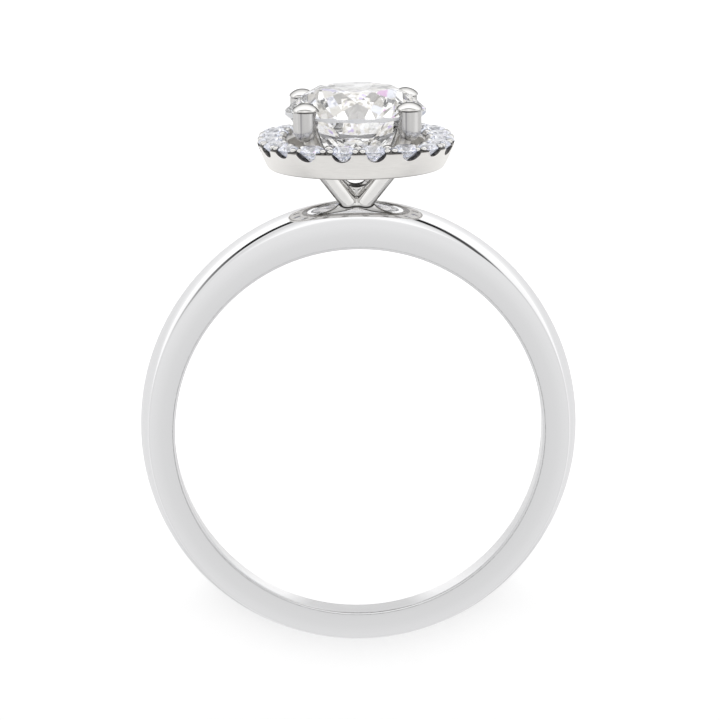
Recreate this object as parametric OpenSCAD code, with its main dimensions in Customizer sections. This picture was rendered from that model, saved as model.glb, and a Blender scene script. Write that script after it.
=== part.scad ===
// Halo ring: a slim D-section band, a four-prong head soldered on its crown, a round brilliant
// in the prongs, and a soft cushion-shaped halo cup with twenty small brilliants round it.
// Everything is modelled upright, with the finger hole along Y and the head at +Z, and then
// laid on its side as a loose ring rests: +Y towards the head, +Z up, origin in the hole's centre.

/* [Band] */
// Inside diameter of the finger hole
finger_d = 17; // [15:0.1:21]
// Width of the band along the finger
band_w = 2; // [1.6:0.05:2.6]
// Height of the flat side face, at the sides and the bottom of the band
flank_h = 1.23; // [1:0.01:1.6]
// Extra height of the flat side face under the head
flank_rise = 0.21; // [0:0.01:0.4]
// Height of the dome over the side faces, at the bottom of the band
dome_bottom = 0.16; // [0.1:0.01:0.4]
// Height of the dome at the sides of the band
dome_side = 0.34; // [0.2:0.01:0.6]
// Height of the dome under the head
dome_top = 0.75; // [0.4:0.01:0.78]
// Radius of the softened edges of the finger hole
edge_r = 0.13; // [0.05:0.01:0.25]

/* [Center stone] */
// Diameter of the round brilliant
stone_d = 6.5; // [5.8:0.05:7.2]
// Height of the girdle's middle over the halo's rim
stone_lift = 1.38; // [1.25:0.01:1.7]

/* [Facets] */
// Width of the table as a share of the stone's diameter
table_share = 0.56; // [0.53:0.01:0.62]
// Thickness of the girdle as a share of the stone's diameter
girdle_share = 0.035; // [0.025:0.005:0.04]
// Angle of the crown's main facets, in degrees
crown_angle = 35; // [33:0.5:36]
// Angle of the pavilion's main facets, in degrees
pavilion_angle = 40.75; // [40:0.25:42]
// Length of the star facets as a share of the crown outside the table
star_share = 0.55; // [0.45:0.01:0.6]
// Length of the lower half facets as a share of the pavilion
lower_half_share = 0.77; // [0.7:0.01:0.85]

/* [Halo] */
// Diameter of the sixteen halo stones along the sides as a share of the center stone's
halo_stone_share = 0.192; // [0.18:0.001:0.195]
// Diameter of the four halo stones at the corners as a share of the center stone's
corner_stone_share = 0.154; // [0.14:0.001:0.157]
// Gap in plan between the center stone and the halo stones
stone_to_halo = 0.025; // [0.02:0.005:0.2]
// Metal left outside the halo stones at the rim
rim_w = 0.03; // [0.02:0.005:0.1]
// Metal left inside the halo stones, round the open middle
inner_rim_w = 0.12; // [0.08:0.01:0.2]
// Height of the halo's wall
halo_h = 1.23; // [1.1:0.01:1.6]
// How far the wall leans in between its rim and its foot
wall_lean = 0.55; // [0.3:0.01:0.7]
// Height of the halo's foot over the crown of the band
halo_lift = 1.51; // [1.3:0.01:1.9]
// Squareness of the rim's outline: 2 is a circle, more is a cushion
rim_squareness = 2.8; // [2.7:0.05:3.1]
// Height of the halo stones' girdle over the rim
seat_h = 0.1; // [0.08:0.01:0.12]
// Width of a notch in the wall as a share of its stone's diameter
notch_share = 0.74; // [0.6:0.01:0.78]
// Diameter of the open holes from the halo stones' seats down through the halo's foot
azure_d = 0.42; // [0.3:0.01:0.46]
// Diameter of the beads that hold the halo stones
bead_d = 0.4; // [0.34:0.01:0.42]
// How far a bead reaches over the edge of a stone
bead_grip = 0.03; // [0.01:0.005:0.05]

/* [Prongs] */
// Diameter of a prong beside the center stone
prong_d = 1.05; // [0.95:0.01:1.15]
// Diameter of a prong's arm under the halo
arm_d = 0.86; // [0.75:0.01:0.92]
// How far a prong reaches over the edge of the center stone
prong_bite = 0.37; // [0.3:0.01:0.42]
// Height of a prong's tip over the middle of the center stone's girdle
tip_h = 0.74; // [0.65:0.01:0.9]
// Height of the dome on a prong's tip
tip_dome_h = 0.27; // [0.2:0.01:0.35]
// Height of the tip's straight edge under its dome
tip_edge_h = 0.08; // [0.06:0.01:0.15]
// How much wider a prong's tip is than the prong
tip_overhang = 0.12; // [0.04:0.01:0.15]
// Diameter of the base where the four arms meet on the band
base_d = 1.4; // [1.2:0.05:1.6]
// Diameter of the web between the arms, at its saddles
web_d = 1.5; // [1.4:0.05:1.6]
// Height of the web's four saddles over the crown of the band
web_lift = 0.67; // [0.55:0.01:0.75]
// Radius of the saddles
saddle_r = 0.7; // [0.6:0.01:0.8]

/* [Clearance] */
// Gap between a stone and the metal that holds it
seat_gap = 0.03; // [0.02:0.005:0.04]

/* [Hidden] */
$fn = 64;

// Angle of each halo stone from the nearest side's middle, counted round one quarter
quarter_angles = [10, 30, 45, 60, 80];
halo_count = 4 * len(quarter_angles);

// Centerline of a prong's arm from the band to the column
arm_path = [
    // share of the prong's distance from the middle, share of the height from band to girdle
    [0.175, 0.02],
    [0.69, 0.45],
    [1, 0.91]];
// The ball in the arm's bend is this much wider than the arm
bend_swell = 1.04;
// The web grows this much in radius for each unit of height
web_flare = 0.75;

// The halo's wall from foot to rim
wall_profile = [
    // share of the wall's height, share of its lean
    [0, -0.14],
    [0.07, 0.08],
    [0.3, 0.37],
    [0.62, 0.68],
    [1, 1]];

// Steps round the band, across its dome and round the halo
band_steps = 96;
dome_steps = 12;
wall_steps = 96;

// The rough band and the rough halo reach this far past the faces that are cut on them
margin = 1;
// The dome's surface runs on past the band's sides by this share of its width
dome_overlap = 1.03;

finger_r = finger_d / 2;
stone_r = stone_d / 2;
halo_stone_d = halo_stone_share * stone_d;
corner_stone_d = corner_stone_share * stone_d;
crown_top = finger_r + flank_h + flank_rise + dome_top;

halo_foot_z = crown_top + halo_lift;
rim_z = halo_foot_z + halo_h;
rim_half = stone_r + stone_to_halo + halo_stone_d + rim_w;
halo_bore_r = stone_r + stone_to_halo - inner_rim_w;

girdle_z = rim_z + stone_lift;
prong_r = stone_r + prong_d / 2 - prong_bite;

// The ring lies on the halo's rim and on the far edge of the band
lie_angle = atan((rim_half - band_w / 2) / (rim_z + finger_r + flank_h));

halo_names = [for (k = [1:halo_count]) str("halo_stone_", k < 10 ? "0" : "", k)];

// Radius of the band's shoulder, where the side face meets the dome, at angle a from +X
function shoulder_r(a) = finger_r + flank_h + flank_rise * pow(max(sin(a), 0), 1.5);

// Height of the dome at angle a: it swells towards the head and flattens towards the bottom
function dome_h(a) =
    let (s = sin(a))
    s > 0 ? dome_side + (dome_top - dome_side) * (s + pow(s, 6)) / 2
          : dome_side + (dome_side - dome_bottom) * s;

// A point of the dome at angle a, a share t of the way from the middle to the shoulder
function dome_point(a, t) =
    let (h = dome_h(a),
         arc_r = (h * h + band_w * band_w / 4) / (2 * h),
         half_arc = asin(band_w / 2 / arc_r),
         r = shoulder_r(a) + h - arc_r + arc_r * cos(half_arc * t))
    [r * cos(a), arc_r * sin(half_arc * t), r * sin(a)];

// Radius of a cushion outline at angle a, for its half width and its squareness
function cushion_r(a, half, squareness) =
    half / pow(pow(abs(cos(a)), squareness) + pow(abs(sin(a)), squareness), 1 / squareness);

// Half width and squareness of the halo's wall at one row of its profile
function wall_half(row) = rim_half - wall_lean * (1 - row[1]);
function wall_squareness(row) = 2 + (rim_squareness - 2) * row[0];

// Angle, diameter and center of halo stone k
function seat_angle(k) =
    90 * floor(k / len(quarter_angles)) + quarter_angles[k % len(quarter_angles)];
function seat_d(k) = quarter_angles[k % len(quarter_angles)] == 45 ? corner_stone_d : halo_stone_d;
function seat_pos(k) =
    let (r = cushion_r(seat_angle(k), rim_half, rim_squareness) - rim_w - seat_d(k) / 2)
    [r * cos(seat_angle(k)), r * sin(seat_angle(k)), rim_z + seat_h];

// Place of the bead between halo stone k and the next one, outside (side 1) or inside (side -1)
function bead_pos(k, side) =
    let (a = seat_pos(k),
         b = seat_pos((k + 1) % halo_count),
         half_gap = norm(b - a) / 2,
         reach = (seat_d(k) + seat_d((k + 1) % halo_count)) / 4 + bead_d / 2 - bead_grip,
         out = sqrt(max(reach * reach - half_gap * half_gap, 0)),
         normal = [b.y - a.y, a.x - b.x, 0] / norm(b - a))
    (a + b) / 2 + side * out * normal;

// Height over the XY plane at x, y of the plane through three points
function plane_z(p, q, r, x, y) =
    let (n = cross(q - p, r - p))
    p.z - (n.x * (x - p.x) + n.y * (y - p.y)) / n.z;

function polar(a, r, z) = [r * cos(a), r * sin(a), z];

// Solid whose outside is the band's dome; it is wider than the band and has no hole
module dome_body() {
    points = [for (j = [0:dome_steps], i = [0:band_steps - 1])
        dome_point(360 * i / band_steps, dome_overlap * (2 * j / dome_steps - 1))];
    sides = [for (j = [0:dome_steps - 1], i = [0:band_steps - 1])
        let (n = (i + 1) % band_steps, low = j * band_steps, high = low + band_steps)
        each [[low + i, low + n, high + n], [low + i, high + n, high + i]]];
    first = [for (i = [band_steps - 1:-1:0]) i];
    last = [for (i = [0:band_steps - 1]) dome_steps * band_steps + i];
    polyhedron(points, concat(sides, [first, last]));
}

// Finger hole with softened edges, as a solid to take away
module finger_hole() {
    rotate([90, 0, 0]) {
        cylinder(r = finger_r, h = band_w + margin, center = true, $fn = 128);
        for (side = [0, 1])
            mirror([0, 0, side])
                translate([0, 0, band_w / 2 - edge_r])
                    rotate_extrude($fn = 128)
                        difference() {
                            translate([finger_r - edge_r, 0])
                                square([2 * edge_r, edge_r + margin]);
                            translate([finger_r + edge_r, 0])
                                circle(r = edge_r);
                        }
    }
}

module band() {
    difference() {
        intersection() {
            rotate([90, 0, 0])
                cylinder(r = crown_top + margin, h = band_w, center = true);
            dome_body();
        }
        finger_hole();
    }
}

// Cushion-shaped cup under the halo stones, solid across
module cup_body() {
    rows = len(wall_profile);
    points = [for (row = wall_profile, i = [0:wall_steps - 1])
        let (a = 360 * i / wall_steps)
        polar(a, cushion_r(a, wall_half(row), wall_squareness(row)), halo_foot_z + row[0] * halo_h)];
    sides = [for (j = [0:rows - 2], i = [0:wall_steps - 1])
        let (n = (i + 1) % wall_steps, low = j * wall_steps, high = low + wall_steps)
        each [[low + i, high + n, low + n], [low + i, high + i, high + n]]];
    foot = [for (i = [0:wall_steps - 1]) i];
    rim = [for (i = [wall_steps - 1:-1:0]) (rows - 1) * wall_steps + i];
    polyhedron(points, concat(sides, [foot, rim]));
}

// Radius, and height over the middle of the girdle, of a brilliant's star facets' outer corners
function star_corner(d) =
    let (r = d / 2,
         table_in = table_share * r * cos(22.5),
         star_r = table_in + star_share * (r - table_in))
    [star_r, girdle_share * r + (r - star_r * cos(22.5)) * tan(crown_angle)];

// Room for a brilliant of diameter d and a gap round it: crown, girdle and pavilion
module stone_room(d) {
    r = d / 2 + seat_gap;
    half_girdle = girdle_share * d / 2 + seat_gap;
    pavilion_h = r * tan(pavilion_angle);
    corner = star_corner(d) + [seat_gap, seat_gap];
    rotate_extrude()
        polygon([[0, -half_girdle - pavilion_h], [r, -half_girdle], [r, half_girdle], corner,
                 [0, corner.y + corner.x * tan(crown_angle)]]);
}

// Seat of halo stone k, with the round-bottomed notch that opens it through the wall and the
// azure, a leaning hole from the seat to the middle of the halo's foot
module halo_seat(k) {
    d = seat_d(k);
    a = seat_angle(k);
    seat_r = norm([seat_pos(k).x, seat_pos(k).y]);
    foot_r = (halo_bore_r + wall_half(wall_profile[0])) / 2;
    drop = seat_pos(k).z - halo_foot_z;
    translate(seat_pos(k)) {
        stone_room(d);
        rotate([0, 0, a])
            rotate([0, 90, 0])
                cylinder(d = notch_share * d, h = d);
        rotate([0, atan2(seat_r - foot_r, drop), a])
            mirror([0, 0, 1])
                cylinder(d = azure_d, h = drop + margin, $fn = 32);
    }
}

module halo_cup() {
    difference() {
        cup_body();
        translate([0, 0, halo_foot_z - margin])
            cylinder(r = halo_bore_r, h = halo_h + 2 * margin, $fn = 96);
        for (k = [0:halo_count - 1])
            halo_seat(k);
    }
    difference() {
        for (k = [0:halo_count - 1], side = [-1, 1])
            translate(bead_pos(k, side))
                sphere(d = bead_d, $fn = 24);
        for (k = [0:halo_count - 1])
            translate(seat_pos(k))
                stone_room(seat_d(k));
    }
}

// One prong in the XZ plane: its arm, its column beside the stone and its wider domed tip
module prong() {
    path = [for (p = arm_path)
        [p.x * prong_r, crown_top + p.y * (girdle_z - crown_top)]];
    foot_z = path[2].y;
    tip_d = prong_d + tip_overhang;
    tip_top = girdle_z + tip_h;
    tip_foot = tip_top - tip_dome_h - tip_edge_h;
    dome_r = (tip_dome_h * tip_dome_h + tip_d * tip_d / 4) / (2 * tip_dome_h);
    for (i = [0, 1]) {
        run = path[i + 1] - path[i];
        translate([path[i].x, 0, path[i].y]) {
            rotate([0, atan2(run.x, run.y), 0])
                cylinder(d = arm_d, h = norm(run), $fn = 48);
            sphere(d = bend_swell * arm_d, $fn = 48);
        }
    }
    translate([prong_r, 0, foot_z]) {
        sphere(d = prong_d, $fn = 48);
        cylinder(d = prong_d, h = tip_foot + tip_edge_h / 2 - foot_z, $fn = 48);
    }
    translate([prong_r - tip_overhang / 3, 0, 0])
        intersection() {
            translate([0, 0, tip_foot])
                cylinder(d = tip_d, h = tip_dome_h + tip_edge_h, $fn = 48);
            translate([0, 0, tip_top - dome_r])
                sphere(r = dome_r, $fn = 96);
        }
}

// Web that fills the corner where the four arms meet, with a round saddle between every two arms
module web() {
    saddle_z = crown_top + web_lift;
    difference() {
        translate([0, 0, crown_top])
            cylinder(r1 = web_d / 2 - web_flare * web_lift,
                     r2 = web_d / 2 + web_flare * saddle_r / 2,
                     h = web_lift + saddle_r / 2, $fn = 48);
        for (a = [0, 90])
            translate([0, 0, saddle_z + saddle_r])
                rotate([90, 0, a])
                    cylinder(r = saddle_r, h = 2 * web_d, center = true, $fn = 48);
    }
}

module prong_head() {
    difference() {
        union() {
            for (a = [45:90:315])
                rotate([0, 0, a])
                    prong();
            translate([0, 0, crown_top - base_d / 4])
                sphere(d = base_d, $fn = 48);
            web();
        }
        translate([0, 0, girdle_z])
            stone_room(stone_d);
    }
}

// A round brilliant of diameter d with its girdle's middle at the origin: table, eight stars,
// eight kites and sixteen halves over the girdle, and sixteen halves and eight mains under it.
// The girdle has a given number of flats to each half facet.
module brilliant(d, flats) {
    r = d / 2;
    half_girdle = girdle_share * d / 2;
    table_r = table_share * r;
    star_r = star_corner(d).x;
    star_z = star_corner(d).y;
    lower_r = r * (1 - lower_half_share);
    count = 16 * flats;
    function crown_z(x) = half_girdle + (r - x) * tan(crown_angle);
    function pavilion_z(x) = -half_girdle - (r - x) * tan(pavilion_angle);

    // Height of a half facet's edge on the girdle at angle a, where its plane cuts the girdle:
    // the facet's inner corner is at corner_r and corner_z, its outer ones at height edge
    function edge_z(a, corner_r, corner_z, edge) =
        let (b = min(a % 45, 45 - a % 45))
        plane_z(polar(0, r, edge), polar(22.5, corner_r, corner_z), polar(22.5, r, edge),
                r * cos(b), r * sin(b));

    lower_z = pavilion_z(lower_r * cos(22.5));
    table = 0;
    star = 8;
    lower = 16;
    culet = 24;
    top = 25;
    low = top + count;
    points = concat(
        [for (i = [0:7]) polar(45 * i, table_r, crown_z(table_r))],
        [for (i = [0:7]) polar(45 * i + 22.5, star_r, star_z)],
        [for (i = [0:7]) polar(45 * i + 22.5, lower_r, lower_z)],
        [[0, 0, pavilion_z(0)]],
        [for (m = [0:count - 1])
            let (a = 360 * m / count)
            polar(a, r, edge_z(a, star_r, star_z, half_girdle))],
        [for (m = [0:count - 1])
            let (a = 360 * m / count)
            polar(a, r, edge_z(a, lower_r, lower_z, -half_girdle))]);
    faces = concat(
        [[for (i = [7:-1:0]) table + i]],
        [for (i = [0:7])
            let (n = (i + 1) % 8, main = 2 * flats * n)
            each [
                [table + i, table + n, star + i],
                [table + n, star + n, top + main, star + i],
                [culet, lower + i, low + main, lower + n]]],
        [for (h = [0:15])
            let (corner = floor(h / 2), edge = [for (m = [0:flats]) (h * flats + m) % count])
            each [
                [star + corner, for (m = [flats:-1:0]) top + edge[m]],
                [for (m = [0:flats]) low + edge[m], lower + corner]]],
        [for (m = [0:count - 1])
            let (n = (m + 1) % count)
            [top + m, top + n, low + n, low + m]]);
    polyhedron(points, faces);
}

// Lay an upright ring on its side, resting on the halo's rim and the band's far edge
module lay() {
    rotate([lie_angle - 90, 0, 0])
        children();
}

module band_and_head() {
    color("gainsboro")
        lay() {
            band();
            halo_cup();
            prong_head();
        }
}

// The center stone is turned so that a star facet looks out between every two prongs
module center_stone() {
    color("aliceblue")
        lay()
            translate([0, 0, girdle_z])
                rotate([0, 0, 22.5])
                    brilliant(stone_d, 4);
}

module halo_stone(k) {
    color("azure")
        lay()
            translate(seat_pos(k))
                rotate([0, 0, seat_angle(k)])
                    brilliant(seat_d(k), 2);
}

band_and_head();
center_stone();
for (k = [0:halo_count - 1])
    halo_stone(k);
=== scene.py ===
# %% [markdown]
# A white gold halo ring, dressed for its portrait
#
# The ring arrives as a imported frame: one metal solid and twenty-one cut stones, lying as a loose
# ring rests. This lesson keeps the stones, models the metal again with softer edges and finer
# shapes, gives both their finish, and lights them the way small jewellery is photographed.

import math

import bmesh
import bpy
from mathutils import Matrix, Vector


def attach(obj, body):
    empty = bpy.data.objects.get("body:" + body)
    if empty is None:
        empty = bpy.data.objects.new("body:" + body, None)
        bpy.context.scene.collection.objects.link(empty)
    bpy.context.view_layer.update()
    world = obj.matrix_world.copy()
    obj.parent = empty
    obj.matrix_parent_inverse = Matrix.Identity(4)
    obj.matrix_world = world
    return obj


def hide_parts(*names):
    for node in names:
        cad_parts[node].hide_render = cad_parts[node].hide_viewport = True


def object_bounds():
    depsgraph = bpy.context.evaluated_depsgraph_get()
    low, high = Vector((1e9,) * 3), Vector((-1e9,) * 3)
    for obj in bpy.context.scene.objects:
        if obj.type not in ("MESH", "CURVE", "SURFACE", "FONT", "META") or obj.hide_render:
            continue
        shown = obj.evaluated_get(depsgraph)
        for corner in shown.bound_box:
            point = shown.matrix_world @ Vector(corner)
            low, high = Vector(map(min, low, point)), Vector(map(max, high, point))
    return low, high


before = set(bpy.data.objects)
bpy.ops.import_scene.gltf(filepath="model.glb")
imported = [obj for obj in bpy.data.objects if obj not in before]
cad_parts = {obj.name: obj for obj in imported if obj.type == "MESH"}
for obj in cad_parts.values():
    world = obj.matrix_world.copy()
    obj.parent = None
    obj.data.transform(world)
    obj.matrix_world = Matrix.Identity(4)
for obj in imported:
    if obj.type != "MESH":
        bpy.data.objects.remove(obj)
cad_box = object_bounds()
scene = bpy.context.scene
print("frame nodes:", len(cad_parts))

# %% [markdown]
# Sizes come first. A ring is drawn upright, with the finger hole along Y and the head at +Z,
# because every part of it is symmetric that way. The finished mesh is then laid over by one
# matrix, which also turns millimetres to metres. The angle follows from the two edges the ring
# rests on: the rim of the halo and the far edge of the band.

# %% Sizes in millimetres, drawn upright
FINGER_R = 8.5
BAND_W = 2.0
FLANK_H = 1.23
FLANK_RISE = 0.21
DOME_TOP = 0.75

STONE_R = 3.25
HALO_STONE_D = 1.248
STONE_TO_HALO = 0.025
RIM_W = 0.03
HALO_LIFT = 1.51
HALO_H = 1.23

CROWN_TOP = FINGER_R + FLANK_H + FLANK_RISE + DOME_TOP
HALO_FOOT_Z = CROWN_TOP + HALO_LIFT
RIM_Z = HALO_FOOT_Z + HALO_H
RIM_HALF = STONE_R + STONE_TO_HALO + HALO_STONE_D + RIM_W

LIE_ANGLE = math.atan((RIM_HALF - BAND_W / 2) / (RIM_Z + FINGER_R + FLANK_H))
LAY = Matrix.Rotation(LIE_ANGLE - math.pi / 2, 4, "X")
LAY_MM = LAY @ Matrix.Scale(0.001, 4)
print(f"the ring leans {math.degrees(LIE_ANGLE):.2f} degrees from lying flat")

# %% [markdown]
# The finishes start from what the real thing is. White gold is an alloy of gold with palladium or
# nickel under a bright plating: a nearly neutral, light-grey mirror once it is polished. Every
# pattern reads the object's own coordinates, turned upright and counted in millimetres, so that a
# scale can be worked out from a real spacing: a noise of scale 9 has grains about 1/9 mm wide.
# What is finer than the picture can show, such as the marks of a polishing wheel, is drawn coarser.


# %% Helpers for materials
def linear(hex_code):
    """An sRGB hex colour as linear RGBA."""
    channels = [int(hex_code[i : i + 2], 16) / 255 for i in (0, 2, 4)]
    return [c / 12.92 if c <= 0.04045 else ((c + 0.055) / 1.055) ** 2.4 for c in channels] + [1]


def set_stops(ramp, stops):
    """Give a colour ramp its (position, linear colour) stops, the lowest first."""
    while len(ramp.elements) > 1:
        ramp.elements.remove(ramp.elements[-1])
    for i, (position, color) in enumerate(stops):
        element = ramp.elements.new(position) if i else ramp.elements[0]
        element.position = position
        element.color = color


def node(tree, kind, inputs=None, stops=(), **settings):
    """Add a node; an input is given a socket to link from or a plain value, a ramp its stops."""
    made = tree.nodes.new(kind)
    for name, value in settings.items():
        setattr(made, name, value)
    for name, value in (inputs or {}).items():
        if isinstance(value, bpy.types.NodeSocket):
            tree.links.new(value, made.inputs[name])
        else:
            made.inputs[name].default_value = value
    if stops:
        set_stops(made.color_ramp, stops)
    return made


def new_material(name):
    """A node material with only its upright coordinates, in millimetres."""
    material = bpy.data.materials.new(name)
    material.use_nodes = True
    tree = material.node_tree
    tree.nodes.clear()
    coords = node(tree, "ShaderNodeTexCoord").outputs["Object"]
    upright = node(
        tree, "ShaderNodeMapping",
        {"Vector": coords, "Rotation": (math.pi / 2 - LIE_ANGLE, 0, 0), "Scale": (1000, 1000, 1000)},
    )
    print("material:", name)
    return material, tree, upright.outputs["Vector"]


# %% [markdown]
# The band is polished on a spinning felt wheel until it mirrors like glass, which leaves only
# faint lines that run round it. A perfect mirror would look like paint in a render, so the
# roughness wanders a little and the lines stay as a very slight bump. The tone is painted shade:
# it grows slightly darker towards the finger hole, which lies in shade.

# %% Polished white gold of the band
# To the eye: a clear, nearly neutral mirror, with painted shade a touch darker towards the finger
# hole.
WHEEL_LINES_PER_MM = 9.0
CLOUDS_PER_MM = 0.9
# A bump's depth is in metres; this is 0.02 mm, more than real marks have, so that it shows.
MARK_DEPTH = 0.00002
white_gold, tree, upright = new_material("polished white gold")
split = node(tree, "ShaderNodeSeparateXYZ", {"Vector": upright})
around = node(tree, "ShaderNodeCombineXYZ", {"X": split.outputs["X"], "Y": split.outputs["Z"]})
radius = node(tree, "ShaderNodeVectorMath", {0: around.outputs[0]}, operation="LENGTH")
wheel_lines = node(
    tree, "ShaderNodeCombineXYZ", {"X": radius.outputs["Value"], "Y": split.outputs["Y"]}
)
marks = node(
    tree, "ShaderNodeTexNoise",
    {"Vector": wheel_lines.outputs[0], "Scale": WHEEL_LINES_PER_MM, "Detail": 3.0},
)
cloud = node(
    tree, "ShaderNodeTexNoise", {"Vector": upright, "Scale": CLOUDS_PER_MM, "Detail": 3.0}
)
roughness = node(
    tree, "ShaderNodeMapRange",
    {"Value": cloud.outputs["Fac"], "From Min": 0.3, "From Max": 0.7, "To Min": 0.04, "To Max": 0.08},
)
outward = node(
    tree, "ShaderNodeMapRange",
    {"Value": radius.outputs["Value"], "From Min": FINGER_R, "From Max": FINGER_R + FLANK_H},
)
# Wheel lines plus painted shade: the tone darkens towards the finger hole.
marks_and_painted_shade = node(
    tree, "ShaderNodeMath",
    {0: marks.outputs["Fac"], 1: 0.15, 2: outward.outputs["Result"]}, operation="MULTIPLY_ADD",
)
tone = node(
    tree, "ShaderNodeValToRGB", {"Fac": marks_and_painted_shade.outputs["Value"]},
    [(0.05, linear("D9D9DA")), (0.6, linear("DEDEDF")), (1.0, linear("E6E6E7"))],
)
bump = node(
    tree, "ShaderNodeBump",
    {"Height": marks.outputs["Fac"], "Strength": 0.03, "Distance": MARK_DEPTH},
)
polished = node(
    tree, "ShaderNodeBsdfPrincipled",
    {
        "Base Color": tone.outputs["Color"], "Metallic": 1.0,
        "Roughness": roughness.outputs["Result"], "Normal": bump.outputs["Normal"],
    },
)
node(tree, "ShaderNodeOutputMaterial", {"Surface": polished.outputs["BSDF"]})

# %% [markdown]
# Arms, tips and beads are buffed by hand with a soft point, which leaves a slightly milkier
# mirror. In a photo such small round pieces have thin dark outlines, because their edges mirror
# the dark of the room. The room here is light all round, so a dark Specular Tint stands for that:
# it darkens metal only where it turns away from the eye. Where the arms meet the band, a dark line
# of painted shade follows the crown of the band. It could be a painted texture, but the crown's
# shape is a short formula, and a height over it is all that is needed.

# %% Buffed white gold of the arms, the tips and the beads
# To the eye: a soft bright mirror with thin dark outlines and a painted shade line where the arms meet
# the band.
CROWN_FALL = (0.047, 0.5, 0)
SHADE_LINE_FROM, SHADE_LINE_TO = 0.03, 0.09
BUFFED_CLOUDS_PER_MM = 1.5
buffed_gold, tree, upright = new_material("buffed white gold")
cloud = node(
    tree, "ShaderNodeTexNoise", {"Vector": upright, "Scale": BUFFED_CLOUDS_PER_MM, "Detail": 3.0}
)
roughness = node(
    tree, "ShaderNodeMapRange",
    {"Value": cloud.outputs["Fac"], "From Min": 0.3, "From Max": 0.7, "To Min": 0.05, "To Max": 0.12},
)
squares = node(tree, "ShaderNodeVectorMath", {0: upright, 1: upright}, operation="MULTIPLY")
fall = node(
    tree, "ShaderNodeVectorMath", {0: squares.outputs[0], 1: CROWN_FALL}, operation="DOT_PRODUCT"
)
height = node(tree, "ShaderNodeSeparateXYZ", {"Vector": upright}).outputs["Z"]
over_crown = node(tree, "ShaderNodeMath", {0: fall.outputs["Value"], 1: height})
above_shade_line = node(
    tree, "ShaderNodeMapRange",
    {
        "Value": over_crown.outputs["Value"],
        "From Min": CROWN_TOP + SHADE_LINE_FROM, "From Max": CROWN_TOP + SHADE_LINE_TO,
    },
)
polish = node(
    tree, "ShaderNodeValToRGB", {"Fac": cloud.outputs["Fac"]},
    [(0.3, linear("E1E0DE")), (0.7, linear("E7E6E4"))],
)
# Painted shade: a dark line where the arms meet the band.
toned = node(
    tree, "ShaderNodeMix",
    {"Factor": above_shade_line.outputs["Result"], 6: linear("4A4947"), 7: polish.outputs["Color"]},
    data_type="RGBA",
)
buffed = node(
    tree, "ShaderNodeBsdfPrincipled",
    {
        "Base Color": toned.outputs[2], "Specular Tint": linear("3C3C3C"),
        "Metallic": 1.0, "Roughness": roughness.outputs["Result"],
    },
)
node(tree, "ShaderNodeOutputMaterial", {"Surface": buffed.outputs["BSDF"]})

# %% [markdown]
# The halo's wall is filed to its cushion outline and finished with fine emery paper drawn round
# it, a satin with short level lines. Noise that is stretched round the wall gives them without any
# unwrapping. The very foot gets a narrow dark edge of painted shade, and both ends of the wall get
# a lighter tone of painted light, for the light beside the ring.

# %% Brushed white gold of the halo's wall
# To the eye: an even satin that hardly mirrors, with a thin dark line of painted shade along its lower
# edge and painted light at both ends.
BRUSH_LINES_PER_MM = 14.0
FOOT_SHADE_H = 0.1
PAINTED_LIGHT_FROM, PAINTED_LIGHT_TO = 2.4, 4.0
brushed_gold, tree, upright = new_material("brushed white gold")
split = node(tree, "ShaderNodeSeparateXYZ", {"Vector": upright})
stretched = node(tree, "ShaderNodeVectorMath", {0: upright, 1: (0.15, 0.15, 1)}, operation="MULTIPLY")
brushing = node(
    tree, "ShaderNodeTexNoise",
    {"Vector": stretched.outputs[0], "Scale": BRUSH_LINES_PER_MM, "Detail": 3.0},
)
wall_tone = node(
    tree, "ShaderNodeValToRGB", {"Fac": brushing.outputs["Fac"]},
    [(0.3, linear("E2E0DD")), (0.7, linear("E8E6E3"))],
)
from_middle = node(tree, "ShaderNodeMath", {0: split.outputs["X"]}, operation="ABSOLUTE")
ends = node(
    tree, "ShaderNodeMapRange",
    {"Value": from_middle.outputs["Value"], "From Min": PAINTED_LIGHT_FROM, "From Max": PAINTED_LIGHT_TO},
)
# Painted light: both ends of the wall turn lighter.
lit_wall = node(
    tree, "ShaderNodeMix",
    {"Factor": ends.outputs["Result"], 6: wall_tone.outputs["Color"], 7: linear("F3F1EE")},
    data_type="RGBA",
)
foot = node(
    tree, "ShaderNodeMapRange",
    {"Value": split.outputs["Z"], "From Min": HALO_FOOT_Z, "From Max": HALO_FOOT_Z + FOOT_SHADE_H},
)
# Painted shade: a narrow dark edge along the foot of the wall.
painted_foot_shade = node(
    tree, "ShaderNodeValToRGB", {"Fac": foot.outputs["Result"]},
    [(0.02, linear("FFFFFF")), (0.12, linear("8A8886")), (0.4, linear("A5A3A1")),
     (0.6, linear("F4F4F4")), (1.0, linear("FFFFFF"))],
)
toned = node(
    tree, "ShaderNodeMix", {"Factor": 1.0, 6: lit_wall.outputs[2], 7: painted_foot_shade.outputs["Color"]},
    data_type="RGBA", blend_type="MULTIPLY",
)
bump = node(
    tree, "ShaderNodeBump",
    {"Height": brushing.outputs["Fac"], "Strength": 0.06, "Distance": MARK_DEPTH},
)
brushed = node(
    tree, "ShaderNodeBsdfPrincipled",
    {
        "Base Color": toned.outputs[2], "Metallic": 1.0, "Roughness": 0.42,
        "Normal": bump.outputs["Normal"],
    },
)
node(tree, "ShaderNodeOutputMaterial", {"Surface": brushed.outputs["BSDF"]})
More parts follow.
